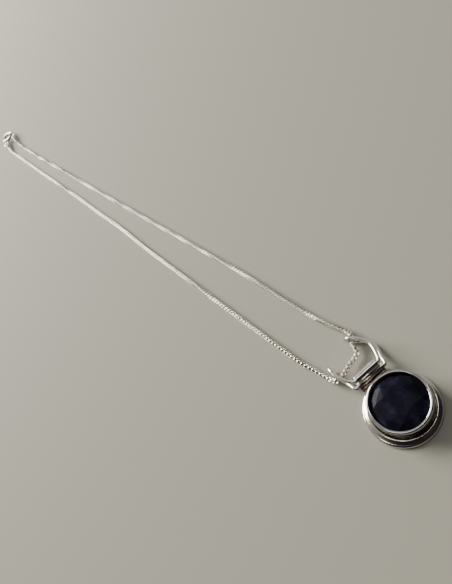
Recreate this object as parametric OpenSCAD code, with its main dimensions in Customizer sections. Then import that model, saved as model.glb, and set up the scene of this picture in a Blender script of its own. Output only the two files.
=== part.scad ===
// Pendant necklace: a round bezel-set stone on a hinged wire bail, threaded on a box chain
// that closes with a spring ring clasp. It lies face up on a flat surface, z = 0.
// +Y runs from the pendant towards the clasp, +Z out of the face of the stone.

/* [Setting] */
// Diameter of the stone
stone_d = 12; // [11.8:0.05:12]
// Outer diameter of the rim ring
rim_d = 16; // [15.9:0.05:16.2]
// Mean width of the rim ring, seen from the front
rim_w = 1.35; // [1.3:0.05:1.35]
// Height of the rim ring where it meets the cup
rim_h = 1.5; // [1.4:0.05:1.6]
// Height of the rim ring at its outer edge
rim_low = 0.75; // [0.7:0.05:0.9]
// How far the cup sits to the right of the rim's centre
cup_off = 0.45; // [0:0.05:0.45]
// Thickness of the back plate
plate_t = 0.8; // [0.6:0.05:1]
// Thickness of the bezel wall
bezel_t = 0.5; // [0.4:0.05:0.5]
// Height of the bezel above the surface
bezel_top = 4.6; // [4.4:0.1:5]

/* [Bail] */
// Diameter of the bail wire
wire_d = 0.9; // [0.8:0.05:1]
// Diameter of the bar across the front
bar_d = 2.1; // [1.9:0.05:2.15]
// Length of the bar across the front
bar_l = 5.8; // [5.4:0.1:6]

/* [Hinge] */
// Outside diameter of the hinge tube
tube_d = 2.2; // [2:0.05:2.25]
// Length of the hinge tube
tube_l = 6.9; // [6.5:0.1:7]
// Diameter of the hinge pin
pin_d = 0.9; // [0.8:0.05:0.95]
// Radial clearance of the pin in the tube
pin_clear = 0.05; // [0.03:0.01:0.08]

/* [Chain and clasp] */
// Width of the box chain
chain_d = 1.2; // [1:0.05:1.2]
// Diameter of the clasp, across its tube's centre line
clasp_d = 5.2; // [5:0.1:5.4]
// Outside diameter of the clasp's tube
clasp_tube_d = 1.4; // [1.3:0.05:1.45]
// Diameter of the tongue that slides in the clasp's tube
tongue_d = 0.84; // [0.76:0.02:0.86]
// Travel of the tongue, degrees
tongue_travel = 62; // [50:1:64]

/* [Hidden] */
$fn = 64;

// Setting
rim_r = rim_d / 2;
cup_r = rim_r - rim_w;
cup_at = [cup_off, 0.08, 0];
stone_r = stone_d / 2;
bezel_in = stone_r + 0.1;
bezel_out = bezel_in + bezel_t;
girdle_z = 3.3;
girdle_t = 0.3;
culet_z = plate_t + 0.3;
seat_w = 0.6;
seat_top = girdle_z - 0.25;

// Hinge and bail
hinge_y = 8.75;
hinge_z = 1.55;
tube_r = tube_d / 2;
pin_half = 3.55;
bar_at = [0, 9.3, 3.73];
bar_half = bar_l / 2;
stub = 0.25;

// Clasp, with its angles counted from +X about its centre
clasp_at = [-47, 227, 1.5];
clasp_r = clasp_d / 2;
clasp_tube_r = clasp_tube_d / 2;
tongue_r = tongue_d / 2;
bore_r = tongue_r + 0.06;
mouth = 60;
tongue_from = -10;
tongue_sweep = 120;
knob_angle = 64;
knob_r = 0.18;
slot_half = 0.24;
spring_from = 176;
spring_turns = 8;
spring_step = 4;
stop_angle = 206;
loop_wire = 0.28;
eye_r = 0.95;
jump_r = 1.35;
hook_r = 1.5;
eye_angle = 235;
hook_angle = -55;
cap_r = 0.8;
cap_l = 2;

// Places of the loops, worked out from the clasp
function polar(a) = [cos(a), sin(a), 0];
eye_at = clasp_at + (clasp_r + clasp_tube_r + eye_r - 0.05) * polar(eye_angle);
jump_at = eye_at - [0, jump_r, 0];
left_cap_at = jump_at - [0, jump_r, 0];
hook_at = clasp_at + (clasp_r + 0.25) * polar(hook_angle) + [0, 0, hook_r + loop_wire - clasp_at.z];
right_cap_at = clasp_at + (clasp_r + 0.25 + hook_r) * polar(hook_angle) - [0, 0.14, 0];
right_end = right_cap_at - [0, eye_r + cap_l, 0];
left_end = left_cap_at - [0, eye_r + cap_l, 0];

// The legs' routes, by hand: a front wire from the bar, a fold over the chain, and a back wire
// that runs under the front one to the pin
right_leg = [
    [3.58, 9.56, 3.71], [3.95, 10.3, 3.6], [4.43, 11.7, 3.43], [4.75, 13.2, 3.27],
    [4.69, 14.3, 3.15], [4.26, 15.5, 3.02], [3.58, 16.75, 2.92], [2.95, 17.6, 2.86],
    [2.4, 18.15, 2.82], [1.83, 18.72, 2.48], [1.59, 18.96, 1.66], [1.83, 18.72, 0.84],
    [2.4, 18.15, 0.5], [3.1, 17.65, 0.5], [3.8, 17, 0.5], [4.55, 16.1, 0.5], [5.1, 15, 0.5],
    [5.35, 13.9, 0.54], [5.25, 12.9, 0.65], [4.92, 11.8, 0.85], [4.58, 10.8, 1.1],
    [4.44, 10.2, 1.3], [4.4, 9.75, 1.43], [4.36, 9.3, 1.52], [4.16, 8.92, 1.55]
];
left_leg = [
    [-3.62, 9.56, 3.71], [-4.2, 10.25, 3.62], [-4.75, 11.2, 3.48], [-5.15, 12.2, 3.35],
    [-5.42, 13.2, 3.22], [-5.55, 14.2, 3.1], [-5.57, 15.2, 2.97], [-5.56, 16.05, 2.6],
    [-5.55, 16.4, 1.73], [-5.56, 16.05, 0.86], [-5.57, 15.2, 0.5], [-5.5, 14.3, 0.5],
    [-5.3, 13.4, 0.52], [-5, 12.4, 0.62], [-4.7, 11.3, 0.9], [-4.5, 10.5, 1.18],
    [-4.42, 10, 1.35], [-4.38, 9.6, 1.46], [-4.33, 9.22, 1.53], [-4.14, 8.9, 1.55]
];

// The chain's route, by hand: from the middle of the bail out to each end
right_route = [
    [0, 14.4, 1.3], [1.1, 14.8, 1.25], [1.75, 15.6, 1.25], [1.9, 16.6, 1.4], [2.1, 17.4, 1.6],
    [2.6, 18.2, 1.66], [3.15, 19.1, 1.45], [3.25, 20.2, 1], [2.95, 21.5, 0.68], [2.4, 23, 0.62],
    [1.5, 25.3, 0.62], [0, 30, 0.62], [-2.5, 41, 0.62], [-5.5, 55, 0.62], [-8.5, 67, 0.62],
    [-12, 81, 0.62], [-16.5, 99, 0.62], [-21.5, 119, 0.62], [-27, 141, 0.62], [-33, 166, 0.62],
    [-38, 186, 0.62], [-42, 204, 0.62], [-43.8, 213, 0.8], [-44.4, 217.5, 1.3], right_end
];
left_route = [
    [0, 14.4, 1.3], [-1.4, 14.1, 1.4], [-2.7, 13.6, 1.6], [-3.9, 13.15, 1.75], [-5, 12.9, 1.77],
    [-5.9, 13.1, 1.55], [-6.6, 14, 1.05], [-7.1, 15.4, 0.67], [-7.65, 17.2, 0.62],
    [-8.4, 19.7, 0.62], [-9.5, 23, 0.62], [-11, 30, 0.62], [-13, 40, 0.62], [-16.5, 57, 0.62],
    [-19.5, 72, 0.62], [-23.5, 92, 0.62], [-26.5, 109, 0.62], [-30, 125, 0.62],
    [-33.5, 142, 0.62], [-37.5, 160, 0.62], [-42, 180, 0.62], [-46.5, 201, 0.62],
    [-48.6, 210, 0.8], [-49.3, 214.5, 1.3], left_end
];

// Catmull-Rom curve through a route, with two steps to each span
function at(p, i) = p[max(0, min(len(p) - 1, i))];
function between(p, i, t) =
    0.5 * (2 * at(p, i) + (at(p, i + 1) - at(p, i - 1)) * t
    + (2 * at(p, i - 1) - 5 * at(p, i) + 4 * at(p, i + 1) - at(p, i + 2)) * t * t
    + (3 * at(p, i) - at(p, i - 1) - 3 * at(p, i + 1) + at(p, i + 2)) * t * t * t);
function smooth(p) = concat(
    [for (i = [0 : len(p) - 2], t = [0, 0.5]) between(p, i, t)], [p[len(p) - 1]]);
// Whole centre line of a leg, straight at the bar and at the pin; s is 1 right, -1 left
function leg_line(s, leg) = concat(
    [bar_at + [s * bar_half, 0, 0]],
    smooth(concat([bar_at + [s * (bar_half + stub), 0, 0]], leg,
        [[s * (pin_half + stub), hinge_y, hinge_z]])),
    [[s * pin_half, hinge_y, hinge_z]]);
function unit(v) = v / norm(v);
function heading(p, i) = unit(at(p, i + 1) - at(p, i - 1));
function square_on(n, t) = unit(n - (n * t) * t);
// A vector across the tube at each point, carried along so that the tube never twists
function sides_of(p, first) =
    [for (i = 0, n = square_on(first, heading(p, 0)); i < len(p);
        i = i + 1, n = i < len(p) ? square_on(n, heading(p, i)) : n) n];

// Tube swept along the points p, with the given number of sides
module swept(p, d, sides) {
    n = len(p);
    across = sides_of(p, [0, 0, 1]);
    points = [for (i = [0 : n - 1], k = [0 : sides - 1])
        let (turn = 360 * k / sides, other = cross(heading(p, i), across[i]))
        p[i] + d / 2 * (across[i] * cos(turn) + other * sin(turn))];
    walls = [for (i = [0 : n - 2], k = [0 : sides - 1], half = [0, 1])
        let (a = i * sides + k, b = i * sides + (k + 1) % sides)
        half == 0 ? [a, a + sides, b] : [b, a + sides, b + sides]];
    ends = [[for (k = [0 : sides - 1]) k], [for (k = [sides - 1 : -1 : 0]) (n - 1) * sides + k]];
    polyhedron(points, concat(walls, ends));
}

// Part of a torus about Z, from angle a through the sweep s
module torus(r, wire, a = 0, s = 360) {
    rotate([0, 0, a])
        rotate_extrude(angle = s, $fn = 96)
            translate([r, 0])
                circle(wire, $fn = 32);
}

// Loop of wire that stands upright, in the plane through Z at angle a
module upright_loop(where, a, r) {
    translate(where)
        rotate([90, 0, a])
            torus(r, loop_wire);
}

// Rod along X, centred
module x_rod(r, l) {
    rotate([0, 90, 0])
        cylinder(r = r, h = l, center = true);
}

module gemstone() {
    color("midnightblue")
        translate(cup_at) {
            translate([0, 0, girdle_z])
                cylinder(r = stone_r, h = girdle_t);
            translate([0, 0, girdle_z + girdle_t])
                cylinder(r1 = stone_r, r2 = 5.5, h = 0.5, $fn = 12);
            translate([0, 0, girdle_z + girdle_t + 0.5])
                cylinder(r1 = 5.5, r2 = 3.6, h = 0.7, $fn = 12);
            translate([0, 0, culet_z])
                cylinder(r1 = 0.3, r2 = stone_r, h = girdle_z - culet_z, $fn = 12);
        }
}

module bezel_cup() {
    color("gainsboro")
        translate(cup_at)
            rotate_extrude()
                polygon([
                    [bezel_in, plate_t], [bezel_out, plate_t], [bezel_out, bezel_top - 0.4],
                    [bezel_out - 0.12, bezel_top - 0.12], [bezel_out - 0.35, bezel_top],
                    [bezel_in - 0.15, bezel_top - 0.15], [bezel_in - 0.3, bezel_top - 0.4],
                    [bezel_in, bezel_top - 0.8]
                ]);
}

module stone_seat() {
    color("silver")
        translate(cup_at + [0, 0, plate_t])
            difference() {
                cylinder(r = bezel_in, h = seat_top - plate_t);
                translate([0, 0, -1])
                    cylinder(r = bezel_in - seat_w, h = seat_top + 1);
            }
}

module base_plate() {
    color("silver")
        translate(cup_at)
            cylinder(r = cup_r, h = plate_t);
}

// Sloping flange around the cup, with a saddle that carries the hinge tube
module rim_ring() {
    edge = 0.15;
    hidden_r = cup_r - 1;
    slope = (rim_h - rim_low) / rim_w;
    color("tan")
        difference() {
            union() {
                rotate_extrude()
                    polygon([
                        [hidden_r, 0], [rim_r - edge, 0], [rim_r, edge], [rim_r, rim_low - edge],
                        [rim_r - edge, rim_low + edge * slope / 2],
                        [hidden_r, rim_low + (rim_r - hidden_r) * slope]
                    ]);
                translate([-tube_l / 2, hidden_r, 0])
                    cube([tube_l, hinge_y - hidden_r, 1.2]);
            }
            translate(cup_at - [0, 0, 1])
                cylinder(r = cup_r, h = 5);
            translate([0, hinge_y, hinge_z])
                x_rod(tube_r, 2 * rim_r);
        }
}

module hinge_tube() {
    color("silver")
        translate([0, hinge_y, hinge_z])
            difference() {
                x_rod(tube_r, tube_l);
                x_rod(pin_d / 2 + pin_clear, tube_l + 1);
            }
}

module hinge_pin() {
    color("silver")
        translate([0, hinge_y, hinge_z])
            x_rod(pin_d / 2, 2 * pin_half);
}

module front_bar() {
    color("gainsboro")
        translate(bar_at)
            x_rod(bar_d / 2, bar_l);
}

module bail_leg_right() {
    color("gainsboro")
        swept(leg_line(1, right_leg), wire_d, 12);
}

module bail_leg_left() {
    color("gainsboro")
        swept(leg_line(-1, left_leg), wire_d, 12);
}

module chain_right() {
    color("lightgray")
        swept(smooth(right_route), chain_d, 8);
}

module chain_left() {
    color("lightgray")
        swept(smooth(left_route), chain_d, 8);
}

// Cup soldered on the chain's last link, behind a loop
module cap_barrel(loop_at) {
    translate(loop_at - [0, eye_r, 0])
        rotate([90, 0, 0])
            cylinder(r = cap_r, h = cap_l);
}

module end_cap_right() {
    color("silver") {
        cap_barrel(right_cap_at);
        translate(right_cap_at)
            torus(eye_r, loop_wire);
    }
}

module end_cap_left() {
    color("silver") {
        cap_barrel(left_cap_at);
        upright_loop(left_cap_at, 90, eye_r);
    }
}

module end_ring() {
    color("silver")
        upright_loop(hook_at, hook_angle, hook_r);
}

module clasp_jump_ring() {
    color("silver")
        translate(jump_at)
            torus(jump_r, loop_wire);
}

// The clasp's outer shape, which the eye is soldered to
module clasp_shell() {
    torus(clasp_r, clasp_tube_r, mouth, 360 - mouth);
}

module clasp_eye() {
    color("silver")
        difference() {
            upright_loop(eye_at, eye_angle, eye_r);
            translate(clasp_at)
                clasp_shell();
        }
}

module clasp_case() {
    slot_sweep = knob_angle + tongue_travel + 6 - mouth;
    color("silver")
        translate(clasp_at) {
            difference() {
                clasp_shell();
                torus(clasp_r, bore_r, mouth - 1, 362 - mouth);
                rotate([0, 0, mouth - 1])
                    rotate_extrude(angle = slot_sweep, $fn = 96)
                        translate([clasp_r, -slot_half])
                            square([clasp_tube_r + 1, 2 * slot_half]);
            }
            torus(clasp_r, bore_r + 0.08, stop_angle, 4);
        }
}

module clasp_tongue() {
    color("gainsboro")
        translate(clasp_at) {
            torus(clasp_r, tongue_r, tongue_from, tongue_sweep);
            rotate([0, 0, knob_angle])
                translate([clasp_r, 0, 0]) {
                    rotate([0, 90, 0])
                        cylinder(r = knob_r, h = clasp_tube_r + 0.35, $fn = 32);
                    translate([clasp_tube_r + 0.4, 0, 0])
                        sphere(0.32, $fn = 32);
                }
        }
}

module clasp_spring() {
    coil_r = 0.3;
    color("gray")
        translate(clasp_at)
            for (i = [0 : spring_turns - 1])
                rotate([0, 0, spring_from + i * spring_step])
                    translate([clasp_r, 0, 0])
                        rotate([90, 0, 0])
                            torus(coil_r, 0.07);
}

gemstone();
bezel_cup();
stone_seat();
base_plate();
rim_ring();
hinge_tube();
hinge_pin();
front_bar();
bail_leg_right();
bail_leg_left();
chain_right();
chain_left();
end_cap_right();
end_cap_left();
end_ring();
clasp_jump_ring();
clasp_eye();
clasp_case();
clasp_tongue();
clasp_spring();
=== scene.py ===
import math

import bmesh
import bpy
from mathutils import Matrix, Vector


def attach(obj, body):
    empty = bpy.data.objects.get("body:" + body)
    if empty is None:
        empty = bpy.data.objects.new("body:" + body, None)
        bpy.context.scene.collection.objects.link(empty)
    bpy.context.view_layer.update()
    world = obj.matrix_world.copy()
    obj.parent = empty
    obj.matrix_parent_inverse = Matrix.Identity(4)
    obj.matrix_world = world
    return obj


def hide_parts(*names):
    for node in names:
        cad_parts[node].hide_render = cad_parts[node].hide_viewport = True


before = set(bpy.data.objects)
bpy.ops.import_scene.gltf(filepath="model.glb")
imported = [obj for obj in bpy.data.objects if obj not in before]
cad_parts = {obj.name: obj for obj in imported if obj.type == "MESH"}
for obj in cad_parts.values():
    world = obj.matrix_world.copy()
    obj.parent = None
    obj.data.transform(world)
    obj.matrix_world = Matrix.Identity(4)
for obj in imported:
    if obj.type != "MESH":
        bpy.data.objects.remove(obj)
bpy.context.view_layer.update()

MM = 0.001

# ---------------------------------------------------------------- sizes, in millimetres
STONE_R = 6.0
CUP_AT = (0.45, 0.08, 0)
CUP_R = 6.65
RIM_R = 8.0
GIRDLE_Z = 3.3
BEZEL_OUT = 6.6
BEZEL_TOP = 4.6
WIRE_R = 0.45
CHAIN_D = 1.2
LINK_PITCH = 0.54

# The chain's route, the same as in part.scad: from the middle of the bail out to each end
RIGHT_END = (-44.505, 220.347, 1.5)
LEFT_END = (-49.409, 217.910, 1.5)
RIGHT_ROUTE = [
    (0, 14.4, 1.3), (1.1, 14.8, 1.25), (1.75, 15.6, 1.25), (1.9, 16.6, 1.4), (2.1, 17.4, 1.6),
    (2.6, 18.2, 1.66), (3.15, 19.1, 1.45), (3.25, 20.2, 1), (2.95, 21.5, 0.68), (2.4, 23, 0.62),
    (1.5, 25.3, 0.62), (0, 30, 0.62), (-2.5, 41, 0.62), (-5.5, 55, 0.62), (-8.5, 67, 0.62),
    (-12, 81, 0.62), (-16.5, 99, 0.62), (-21.5, 119, 0.62), (-27, 141, 0.62), (-33, 166, 0.62),
    (-38, 186, 0.62), (-42, 204, 0.62), (-43.8, 213, 0.8), (-44.4, 217.5, 1.3), RIGHT_END,
]
LEFT_ROUTE = [
    (0, 14.4, 1.3), (-1.4, 14.1, 1.4), (-2.7, 13.6, 1.6), (-3.9, 13.15, 1.75), (-5, 12.9, 1.77),
    (-5.9, 13.1, 1.55), (-6.6, 14, 1.05), (-7.1, 15.4, 0.67), (-7.65, 17.2, 0.62),
    (-8.4, 19.7, 0.62), (-9.5, 23, 0.62), (-11, 30, 0.62), (-13, 40, 0.62), (-16.5, 57, 0.62),
    (-19.5, 72, 0.62), (-23.5, 92, 0.62), (-26.5, 109, 0.62), (-30, 125, 0.62),
    (-33.5, 142, 0.62), (-37.5, 160, 0.62), (-42, 180, 0.62), (-46.5, 201, 0.62),
    (-48.6, 210, 0.8), (-49.3, 214.5, 1.3), LEFT_END,
]


# Each leg of the bail, the same as in part.scad: front wire, fold over the chain, back wire
BAR = (0, 9.3, 3.73)
BAR_HALF = 2.9
BAR_R = 1.05
HINGE = (0, 8.75, 1.55)
TUBE_R = 1.1
TUBE_HALF = 3.45
PIN_HALF = 3.55
STUB = 0.25
RIGHT_LEG = [
    (3.58, 9.56, 3.71), (3.95, 10.3, 3.6), (4.43, 11.7, 3.43), (4.75, 13.2, 3.27),
    (4.69, 14.3, 3.15), (4.26, 15.5, 3.02), (3.58, 16.75, 2.92), (2.95, 17.6, 2.86),
    (2.4, 18.15, 2.82), (1.83, 18.72, 2.48), (1.59, 18.96, 1.66), (1.83, 18.72, 0.84),
    (2.4, 18.15, 0.5), (3.1, 17.65, 0.5), (3.8, 17, 0.5), (4.55, 16.1, 0.5), (5.1, 15, 0.5),
    (5.35, 13.9, 0.54), (5.25, 12.9, 0.65), (4.92, 11.8, 0.85), (4.58, 10.8, 1.1),
    (4.44, 10.2, 1.3), (4.4, 9.75, 1.43), (4.36, 9.3, 1.52), (4.16, 8.92, 1.55)
]
LEFT_LEG = [
    (-3.62, 9.56, 3.71), (-4.2, 10.25, 3.62), (-4.75, 11.2, 3.48), (-5.15, 12.2, 3.35),
    (-5.42, 13.2, 3.22), (-5.55, 14.2, 3.1), (-5.57, 15.2, 2.97), (-5.56, 16.05, 2.6),
    (-5.55, 16.4, 1.73), (-5.56, 16.05, 0.86), (-5.57, 15.2, 0.5), (-5.5, 14.3, 0.5),
    (-5.3, 13.4, 0.52), (-5, 12.4, 0.62), (-4.7, 11.3, 0.9), (-4.5, 10.5, 1.18),
    (-4.42, 10, 1.35), (-4.38, 9.6, 1.46), (-4.33, 9.22, 1.53), (-4.14, 8.9, 1.55)
]


# ---------------------------------------------------------------- geometry helpers
def smooth(route, steps):
    """Catmull-Rom curve through a route given in millimetres; the points are in metres."""
    p = [Vector(r) * MM for r in route]
    p = [p[0]] + p + [p[-1]]
    line = []
    for i in range(1, len(p) - 2):
        for k in range(steps):
            t = k / steps
            line.append(0.5 * (
                2 * p[i] + (p[i + 1] - p[i - 1]) * t
                + (2 * p[i - 1] - 5 * p[i] + 4 * p[i + 1] - p[i + 2]) * t * t
                + (3 * p[i] - p[i - 1] - 3 * p[i + 1] + p[i + 2]) * t ** 3))
    return line + [p[-2]]


def headings(line):
    """Unit direction of the line at each of its points."""
    last = len(line) - 1
    return [(line[min(i + 1, last)] - line[max(i - 1, 0)]).normalized() for i in range(last + 1)]


def carried(line, first):
    """A vector across the line at each point, carried along so that it never twists."""
    across = []
    n = Vector(first)
    for t in headings(line):
        n = (n - t * n.dot(t)).normalized()
        across.append(n)
    return across


def mesh_object(name, verts, faces, material, flat=False):
    mesh = bpy.data.meshes.new(name)
    mesh.from_pydata([tuple(v) for v in verts], [], faces)
    mesh.validate()
    mesh.polygons.foreach_set("use_smooth", [not flat] * len(mesh.polygons))
    mesh.materials.append(material)
    piece = bpy.data.objects.new(name, mesh)
    bpy.context.scene.collection.objects.link(piece)
    return piece


def tube(name, line, radius, material, sides=24, first=(0, 0, 1)):
    """Round wire along a line in metres, with flat ends."""
    verts, faces = [], []
    for p, t, n in zip(line, headings(line), carried(line, first)):
        other = t.cross(n)
        for k in range(sides):
            a = 2 * math.pi * k / sides
            verts.append(p + radius * (n * math.cos(a) + other * math.sin(a)))
    for i in range(len(line) - 1):
        for k in range(sides):
            a, b = i * sides + k, i * sides + (k + 1) % sides
            faces.append((a, b, b + sides, a + sides))
    faces.append(tuple(range(sides))[::-1])
    faces.append(tuple((len(line) - 1) * sides + k for k in range(sides)))
    return mesh_object(name, verts, faces, material)


def lathe(name, profile, material, segments=180, wobble=None):
    """Closed profile of (radius, height) in millimetres, turned about Z."""
    verts, faces = [], []
    n = len(profile)
    for i in range(segments):
        a = 2 * math.pi * i / segments
        for j, (r, z) in enumerate(profile):
            if wobble:
                r, z = wobble(a, j, r, z)
            verts.append(Vector((r * math.cos(a), r * math.sin(a), z)) * MM)
    for i in range(segments):
        for j in range(n):
            a, b = i * n + j, i * n + (j + 1) % n
            c, d = ((i + 1) % segments) * n + (j + 1) % n, ((i + 1) % segments) * n + j
            faces.append((a, d, c, b))
    return mesh_object(name, verts, faces, material)


def rounded(profile, radius=0.1, steps=4):
    """Rounds every corner of a closed profile with a small arc-like curve."""
    out = []
    n = len(profile)
    for i in range(n):
        p, a, b = Vector(profile[i]), Vector(profile[i - 1]), Vector(profile[(i + 1) % n])
        ra = min(radius, 0.45 * (a - p).length)
        rb = min(radius, 0.45 * (b - p).length)
        start = p + (a - p).normalized() * ra
        end = p + (b - p).normalized() * rb
        for k in range(steps + 1):
            t = k / steps
            q = start * (1 - t) ** 2 + p * 2 * t * (1 - t) + end * t * t
            out.append((q.x, q.y))
    return out


def stand_in(piece, body, cad):
    """The piece moves with a body and is shown in place of a CAD node."""
    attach(piece, body)
    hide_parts(cad)


# ---------------------------------------------------------------- materials
def new_material(name):
    material = bpy.data.materials.new(name)
    material.use_nodes = True
    return material, material.node_tree.nodes, material.node_tree.links


def ramp(nodes, stops):
    node = nodes.new("ShaderNodeValToRGB")
    while len(node.color_ramp.elements) < len(stops):
        node.color_ramp.elements.new(0.5)
    for element, (place, colour) in zip(node.color_ramp.elements, stops):
        element.position = place
        element.color = (*colour, 1)
    return node


def noise(nodes, links, source, scale, detail):
    node = nodes.new("ShaderNodeTexNoise")
    node.inputs["Scale"].default_value = scale
    node.inputs["Detail"].default_value = detail
    links.new(source, node.inputs["Vector"])
    return node.outputs["Fac"]


def map_range(nodes, links, source, **ends):
    """Map Range node; ends are from_min, from_max, to_min and to_max."""
    node = nodes.new("ShaderNodeMapRange")
    for end, value in ends.items():
        node.inputs[end.replace("_", " ").title()].default_value = value
    links.new(source, node.inputs["Value"])
    return node.outputs["Result"]


def add_scratches(nodes, links, coordinates, strength):
    """Hairlines all in one slanted direction, as a very low bump."""
    stretch = nodes.new("ShaderNodeMapping")
    stretch.inputs["Scale"].default_value = (9000, 1400, 5000)
    stretch.inputs["Rotation"].default_value = (0.3, 0.2, 0.7)
    links.new(coordinates, stretch.inputs["Vector"])
    bump = nodes.new("ShaderNodeBump")
    bump.inputs["Strength"].default_value = strength
    bump.inputs["Distance"].default_value = 0.1 * MM
    links.new(noise(nodes, links, stretch.outputs["Vector"], 1.0, 3), bump.inputs["Height"])
    links.new(bump.outputs["Normal"], nodes["Principled BSDF"].inputs["Normal"])


def silver(name, bright, dull, rough_low, rough_high, scratch=0.02):
    """Polished silver: hand-polished, faintly clouded, with hairline scratches."""
    material, nodes, links = new_material(name)
    shader = nodes["Principled BSDF"]
    shader.inputs["Metallic"].default_value = 1.0
    coordinates = nodes.new("ShaderNodeTexCoord").outputs["Object"]
    cloud = noise(nodes, links, coordinates, 420, 6)
    tint = ramp(nodes, [(0.36, dull), (0.58, bright)])
    links.new(cloud, tint.inputs["Fac"])
    links.new(tint.outputs["Color"], shader.inputs["Base Color"])
    rough = map_range(nodes, links, cloud, from_min=0.35, from_max=0.65,
                      to_min=rough_high, to_max=rough_low)
    links.new(rough, shader.inputs["Roughness"])
    add_scratches(nodes, links, coordinates, scratch)
    return material


def bezel_silver_painted_shade():
    """Polished lip; low on the bezel's wall the colour fades to near-black, painted shade and a
    painted dark reflection above the rim.
    """
    material = silver("bezel_silver", (0.66, 0.645, 0.63), (0.46, 0.44, 0.42), 0.08, 0.17)
    nodes, links = material.node_tree.nodes, material.node_tree.links
    shader = nodes["Principled BSDF"]
    polished = shader.inputs["Base Color"].links[0].from_socket
    split = nodes.new("ShaderNodeSeparateXYZ")
    links.new(nodes["Texture Coordinate"].outputs["Object"], split.inputs["Vector"])
    shade_fade = map_range(nodes, links, split.outputs["Z"],
                       from_min=GIRDLE_Z * MM, from_max=4.2 * MM)
    # Painted shade: near-black up to the girdle's height, fading to the polished tint by 4.2 mm.
    mix = nodes.new("ShaderNodeMix")
    mix.data_type = "RGBA"
    mix.inputs["A"].default_value = (0.07, 0.058, 0.05, 1)
    links.new(shade_fade, mix.inputs["Factor"])
    links.new(polished, mix.inputs["B"])
    links.new(mix.outputs["Result"], shader.inputs["Base Color"])
    return material


def stone_material():
    """Nearly opaque dark blue stone; each facet takes its own tone from its direction, painted
    faint facet reflections, mixed with random colour zones.
    """
    material, nodes, links = new_material("dark_blue_stone")
    shader = nodes["Principled BSDF"]
    shader.inputs["Roughness"].default_value = 0.26
    shader.inputs["IOR"].default_value = 1.5
    shader.inputs["Specular IOR Level"].default_value = 0.05
    place = nodes.new("ShaderNodeTexCoord")
    # Painted reflections: each facet's tone comes from its direction and stands in for the faint
    # light each facet catches.
    facets = noise(nodes, links, place.outputs["Normal"], 3.4, 1)
    zones = noise(nodes, links, place.outputs["Object"], 330, 3)
    blend = nodes.new("ShaderNodeMix")
    blend.inputs["Factor"].default_value = 0.5
    links.new(facets, blend.inputs["A"])
    links.new(zones, blend.inputs["B"])
    tint = ramp(nodes, [
        (0.38, (0.003, 0.003, 0.005)), (0.48, (0.006, 0.006, 0.011)),
        (0.55, (0.009, 0.008, 0.018)), (0.65, (0.022, 0.023, 0.042))])
    links.new(blend.outputs["Result"], tint.inputs["Fac"])
    links.new(tint.outputs["Color"], shader.inputs["Base Color"])
    return material


def floor_material():
    """Plain pale matt floor."""
    material, nodes, _ = new_material("pale_floor")
    shader = nodes["Principled BSDF"]
    shader.inputs["Base Color"].default_value = (0.398, 0.394, 0.322, 1)
    shader.inputs["Roughness"].default_value = 0.85
    return material


SILVER = silver("polished_silver", (0.90, 0.885, 0.86), (0.74, 0.70, 0.64), 0.07, 0.16)
CHAIN_SILVER = silver("chain_silver", (0.96, 0.94, 0.87), (0.78, 0.74, 0.63), 0.10, 0.18, 0.01)
# Dark silver: used for the base plate and clasp spring, and as painted shade inside the chain
# links.
TARNISH_AND_SHADE = silver("tarnish_and_shade_silver", (0.42, 0.36, 0.28), (0.14, 0.11, 0.08), 0.22, 0.40, 0.04)
WARM = silver("warm_silver", (0.78, 0.70, 0.60), (0.42, 0.35, 0.27), 0.12, 0.24, 0.03)
BEZEL = bezel_silver_painted_shade()
STONE = stone_material()


# ---------------------------------------------------------------- camera
def make_camera():
    """Looks down on the necklace from beyond the pendant."""
    camera = bpy.data.objects.new("camera", bpy.data.cameras.new("camera"))
    bpy.context.scene.collection.objects.link(camera)
    right = Vector((0.7276, -0.4868, -0.4833)).normalized()
    forward = Vector((-0.0713, 0.6470, -0.7591)).normalized()
    up = right.cross(forward).normalized()
    turn = Matrix((right, up, -forward)).transposed().to_4x4()
    camera.matrix_world = Matrix.Translation(Vector((-2.6, -34.6, 105.3)) * MM) @ turn
    camera.data.sensor_fit = "HORIZONTAL"
    camera.data.sensor_width = 36
    camera.data.lens = 39.823
    camera.data.clip_start = 0.005
    camera.data.clip_end = 20
    bpy.context.scene.camera = camera


make_camera()


# ---------------------------------------------------------------- the box chain
def signed_power(x, power):
    return math.copysign(abs(x) ** power, x)


def link_shape():
    """One box link about the origin: a square frame of flat wire with crowned sides, along X."""
    half_w, thick, depth, crown = CHAIN_D / 2, 0.22, 0.60, 2.5
    half_l = LINK_PITCH / 2 + thick
    outline = []
    for k in range(12):
        a = math.radians(30 * k + 15)
        p = Vector((half_l * signed_power(math.cos(a), 2 / crown),
                    half_w * signed_power(math.sin(a), 2 / crown)))
        n = Vector((signed_power(p.x / half_l, crown - 1) / half_l,
                    signed_power(p.y / half_w, crown - 1) / half_w)).normalized()
        outline.append((p, n))
    section = []
    for k in range(8):
        a = math.radians(45 * k + 22.5)
        section.append((signed_power(math.cos(a), 0.45) * thick / 2 - thick / 2,
                        signed_power(math.sin(a), 0.45) * depth / 2))
    verts = [Vector((p.x + n.x * out, p.y + n.y * out, side)) * MM
             for p, n in outline for out, side in section]
    faces, inner = [], []
    n, m = len(outline), len(section)
    for i in range(n):
        for j in range(m):
            a, b = i * m + j, i * m + (j + 1) % m
            c, d = ((i + 1) % n) * m + (j + 1) % m, ((i + 1) % n) * m + j
            faces.append((a, d, c, b))
            # Faces on the inside of the frame are flagged for the dark material: painted shade in
            # the gaps between links.
            depth_sum = section[j][0] + section[(j + 1) % m][0]
            inner.append(depth_sum < -1.4 * thick)
    return verts, faces, inner


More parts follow.
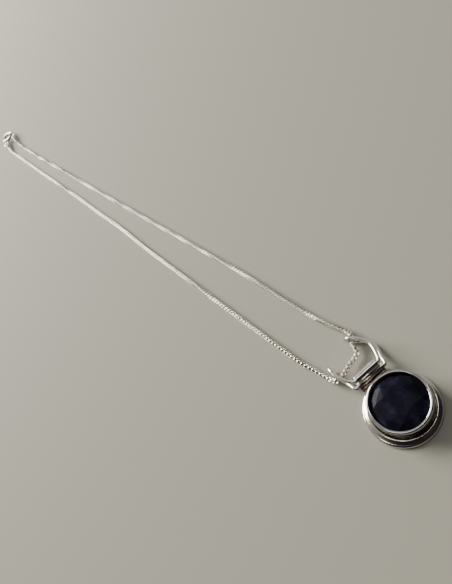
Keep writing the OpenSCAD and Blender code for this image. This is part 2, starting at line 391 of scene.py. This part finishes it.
def along(line, distance, marks):
    """The place at a distance along a line, whose points lie at the distances in marks."""
    low, high = 0, len(marks) - 2
    while low < high:
        middle = (low + high + 1) // 2
        if marks[middle] <= distance:
            low = middle
        else:
            high = middle - 1
    t = (distance - marks[low]) / max(marks[low + 1] - marks[low], 1e-9)
    return low, min(max(t, 0.0), 1.0)


def keyed(keys, x):
    """Eased value at x through given (x, value) keys."""
    if x <= keys[0][0]:
        return keys[0][1]
    for (x0, v0), (x1, v1) in zip(keys, keys[1:]):
        if x <= x1:
            t = (x - x0) / (x1 - x0)
            t = t * t * (3 - 2 * t)
            return v0 + (v1 - v0) * t
    return keys[-1][1]


def box_chain(name, route, twist, parity):
    """Box links along a route, each a quarter turn from the last; twist keys are (mm, degrees)."""
    line = smooth(route, 12)
    marks = [0.0]
    for a, b in zip(line, line[1:]):
        marks.append(marks[-1] + (b - a).length)
    length = marks[-1]
    head, across = headings(line), carried(line, (0, 0, 1))
    count = round(length / (LINK_PITCH * MM))
    pitch = length / count
    shape, shape_faces, inner = link_shape()
    verts, faces = [], []
    for n in range(count):
        s = (n + 0.5) * pitch
        i, t = along(line, s, marks)
        place = line[i].lerp(line[i + 1], t)
        x = head[i].lerp(head[i + 1], t).normalized()
        z = across[i].lerp(across[i + 1], t)
        z = (z - x * z.dot(x)).normalized()
        turn = math.radians(keyed(twist, s / MM) + 90 * ((n + parity) % 2))
        z = z * math.cos(turn) + x.cross(z) * math.sin(turn)
        y = z.cross(x)
        base = len(verts)
        verts.extend(place + x * v.x + y * v.y + z * v.z for v in shape)
        faces.extend(tuple(base + k for k in f) for f in shape_faces)
    piece = mesh_object(name, verts, faces, CHAIN_SILVER)
    # Second material: the links' inner faces are dark, painted shade between the links.
    piece.data.materials.append(TARNISH_AND_SHADE)
    piece.data.polygons.foreach_set("material_index", [int(dark) for dark in inner] * count)
    return piece, line, length


RIGHT_TWIST = [(0, 0), (10, 0), (24, 90), (150, 810), (205, 1080), (230, 1080)]
LEFT_TWIST = [(0, 0), (45, 0), (66, 90), (140, 100), (165, 190), (230, 200)]
right_chain, right_line, right_length = box_chain("box_chain_right", RIGHT_ROUTE, RIGHT_TWIST, 0)
left_chain, left_line, left_length = box_chain("box_chain_left", LEFT_ROUTE, LEFT_TWIST, 1)
stand_in(right_chain, "bail_and_chain", "chain_right")
stand_in(left_chain, "bail_and_chain", "chain_left")


# ---------------------------------------------------------------- the setting and the stone
def gemstone():
    """Mixed-cut stone: a table, two rows of crown facets and a pavilion, as one convex solid."""
    facet_turn = 0.2
    rows = [  # radius, height, points round the row, shift in steps
        (0.0, GIRDLE_Z - 2.2, 1, 0), (STONE_R * 0.55, GIRDLE_Z - 1.15, 8, 0.5),
        (STONE_R - 0.02, GIRDLE_Z, 32, 0), (STONE_R - 0.02, GIRDLE_Z + 0.3, 32, 0),
        (STONE_R * 0.94, GIRDLE_Z + 0.62, 16, 0.5), (STONE_R * 0.76, GIRDLE_Z + 1.12, 8, 0),
        (STONE_R * 0.50, GIRDLE_Z + 1.44, 8, 0.5)]
    bm = bmesh.new()
    for r, z, count, shift in rows:
        for k in range(count):
            a = 2 * math.pi * (k + shift) / count + facet_turn
            bm.verts.new(Vector((r * math.cos(a), r * math.sin(a), z)) * MM)
    bmesh.ops.convex_hull(bm, input=bm.verts)
    inside = [v for v in bm.verts if not v.link_faces]
    bmesh.ops.delete(bm, geom=inside, context="VERTS")
    bmesh.ops.dissolve_limit(bm, angle_limit=math.radians(1.0), verts=bm.verts, edges=bm.edges)
    bmesh.ops.recalc_face_normals(bm, faces=bm.faces)
    mesh = bpy.data.meshes.new("faceted_stone")
    bm.to_mesh(mesh)
    mesh.transform(Matrix.Translation(Vector(CUP_AT) * MM))
    bm.free()
    mesh.materials.append(STONE)
    piece = bpy.data.objects.new("faceted_stone", mesh)
    bpy.context.scene.collection.objects.link(piece)
    return piece


stand_in(gemstone(), "pendant", "gemstone")


def bezel_wobble(a, j, r, z):
    """The lip is burnished by hand, so it isn't quite round or level."""
    still_below = 3.6
    lift = 0.03 * math.sin(3 * a + 0.4) + 0.02 * math.sin(7 * a + 1.3)
    share = max(0.0, (z - still_below) / (BEZEL_TOP - still_below))
    return r + share * 0.6 * lift, z + share * (lift - 0.05)


def bezel_profile():
    """The wall of the setting, with a half-round lip burnished over the stone."""
    lip_r, lip_at, lip_z = 0.39, BEZEL_OUT - 0.4, BEZEL_TOP - 0.41
    lip = []
    for k in range(11):
        a = math.radians(18 * k)
        lip.append((lip_at + lip_r * math.cos(a), lip_z + lip_r * math.sin(a)))
    return [(6.1, 0.82), (BEZEL_OUT, 0.82), (BEZEL_OUT, 2.6)] + lip + [(5.9, 3.9), (6.1, 3.75)]


bezel = lathe("bezel_wall", bezel_profile(), BEZEL, wobble=bezel_wobble)
bezel.data.transform(Matrix.Translation(Vector(CUP_AT) * MM))
stand_in(bezel, "pendant", "bezel_cup")


def rim_reach(a, j, r, z):
    """The rim's inner edge follows the cup, which isn't quite at the rim's middle."""
    ray, cup = Vector((math.cos(a), math.sin(a))), Vector(CUP_AT[:2])
    off = cup.x * ray.y - cup.y * ray.x
    inner = cup.dot(ray) + math.sqrt(CUP_R ** 2 - off ** 2)
    share = (r - CUP_R) / (RIM_R - CUP_R)
    return inner + (RIM_R - inner) * share, z


def rim_flange():
    """The sloping rim, warm in tone, with a polished outer edge."""
    polished_from = 0.72
    edge = [(RIM_R - 0.04, 0.1), (RIM_R, 0.3), (RIM_R - 0.01, 0.52), (RIM_R - 0.08, 0.68),
            (RIM_R - 0.2, 0.79), (RIM_R - 0.34, 0.83), (RIM_R - 0.48, 0.86)]
    profile = [(CUP_R, 0.03), (RIM_R - 0.14, 0.0)] + edge + [(7.2, 1.15), (CUP_R, 1.46)]
    rim = lathe("rim_flange", profile, WARM, wobble=rim_reach)
    rim.data.materials.append(SILVER)
    for face in rim.data.polygons:
        reach = (face.center.xy.length - CUP_R * MM) / ((RIM_R - CUP_R) * MM)
        face.material_index = int(reach > polished_from)
    return rim


def saddle():
    """The block on the rim that holds the hinge tube; it ends inside the tube's wall."""
    half_x, low_y, high_y, high_z = TUBE_HALF - 0.02, 6.75, HINGE[1] - 0.02, 1.0
    corners = [Vector((x, y, z)) * MM for z in (0.02, high_z) for x, y in (
        (-half_x, low_y), (half_x, low_y), (half_x, high_y), (-half_x, high_y))]
    sides = [(0, 1, 5, 4), (1, 2, 6, 5), (2, 3, 7, 6), (3, 0, 4, 7), (4, 5, 6, 7), (3, 2, 1, 0)]
    return mesh_object("saddle", corners, sides, WARM, flat=True)


def leg_line(side, leg):
    """Whole centre line of a leg, straight at the bar and at the pin."""
    bar = Vector(BAR) + Vector((side * BAR_HALF, 0, 0))
    pin = Vector(HINGE) + Vector((side * PIN_HALF, 0, 0))
    step = Vector((side * STUB, 0, 0))
    return [bar * MM] + smooth([tuple(bar + step)] + leg + [tuple(pin + step)], 6) + [pin * MM]


def rod(name, centre, radius, half, edge, material, bore=0.0):
    """Rod along X with rounded ends, in millimetres, or a tube when it has a bore."""
    steps = 5
    outline = [(bore, -half), (radius, -half), (radius, half), (bore, half)]
    profile = rounded(outline, edge, steps)
    if not bore:
        outer_corners = profile[steps + 1:3 * (steps + 1)]
        profile = [(0, -half)] + outer_corners + [(0, half)]
    piece = lathe(name, profile, material, 96)
    turn = Matrix.Rotation(math.radians(90), 4, "Y")
    piece.data.transform(Matrix.Translation(Vector(centre) * MM) @ turn)
    return piece


stand_in(rim_flange(), "pendant", "rim_ring")
stand_in(saddle(), "pendant", "rim_ring")
stand_in(tube("bail_wire_right", leg_line(1, RIGHT_LEG), WIRE_R * MM, SILVER, 32),
         "bail_and_chain", "bail_leg_right")
stand_in(tube("bail_wire_left", leg_line(-1, LEFT_LEG), WIRE_R * MM, SILVER, 32),
         "bail_and_chain", "bail_leg_left")
stand_in(rod("bail_bar", BAR, BAR_R, BAR_HALF, 0.12, SILVER),
         "bail_and_chain", "front_bar")
stand_in(rod("knuckle_tube", HINGE, TUBE_R, TUBE_HALF, 0.1, WARM, 0.5),
         "pendant", "hinge_tube")


for name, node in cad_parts.items():
    node.data.materials.clear()
    node.data.materials.append(SILVER)
for name in ("base_plate", "clasp_spring"):
    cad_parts[name].data.materials.clear()
    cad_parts[name].data.materials.append(TARNISH_AND_SHADE)


# ---------------------------------------------------------------- floor and light
def make_floor():
    size = 3.0
    corners = [(-size, -size, 0), (size, -size, 0), (size, size, 0), (-size, size, 0)]
    floor = mesh_object("floor", corners, [(0, 1, 2, 3)], floor_material())


def area_light(name, place, target, width, shade_fade, power, colour):
    """Soft rectangular light; its width lies along X when it points straight down."""
    lamp = bpy.data.lights.new(name, "AREA")
    lamp.shape = "RECTANGLE"
    lamp.size, lamp.size_y = width, shade_fade
    lamp.energy, lamp.color = power, colour
    holder = bpy.data.objects.new(name, lamp)
    down = Vector(target) - Vector(place)
    across = Vector((1, 0, 0))
    across = (across - down * across.dot(down) / down.length_squared).normalized()
    back = -down.normalized()
    turn = Matrix((across, back.cross(across), back)).transposed().to_4x4()
    holder.matrix_world = Matrix.Translation(Vector(place)) @ turn
    bpy.context.scene.collection.objects.link(holder)


def make_world():
    """Room light: dark behind the camera, brighter toward the far end of the chain."""
    world = bpy.data.worlds.new("studio")
    bpy.context.scene.world = world
    world.use_nodes = True
    nodes, links = world.node_tree.nodes, world.node_tree.links
    place = nodes.new("ShaderNodeTexCoord")
    split = nodes.new("ShaderNodeSeparateXYZ")
    links.new(place.outputs["Generated"], split.inputs["Vector"])
    tint = ramp(nodes, [
        (0.00, (0.085, 0.060, 0.045)), (0.20, (0.030, 0.024, 0.026)), (0.40, (0.018, 0.018, 0.045)),
        (0.50, (0.10, 0.10, 0.11)), (0.62, (0.42, 0.42, 0.41)), (0.80, (0.62, 0.61, 0.58)),
        (1.00, (0.95, 0.92, 0.88))])
    spread = map_range(nodes, links, split.outputs["Y"], from_min=-1, from_max=1)
    links.new(spread, tint.inputs["Fac"])
    links.new(tint.outputs["Color"], nodes["Background"].inputs["Color"])
    nodes["Background"].inputs["Strength"].default_value = 0.68


make_floor()
make_world()
area_light("strip", place=(0, 0.13, 0.9), target=(0, 0.06, 0),
           width=1.2, shade_fade=0.09, power=1.4, colour=(1.0, 1.0, 1.0))
area_light("window", place=(-0.38, 0.72, 0.40), target=(-0.02, 0.03, 0),
           width=0.55, shade_fade=0.35, power=15.5, colour=(1.0, 0.95, 0.91))
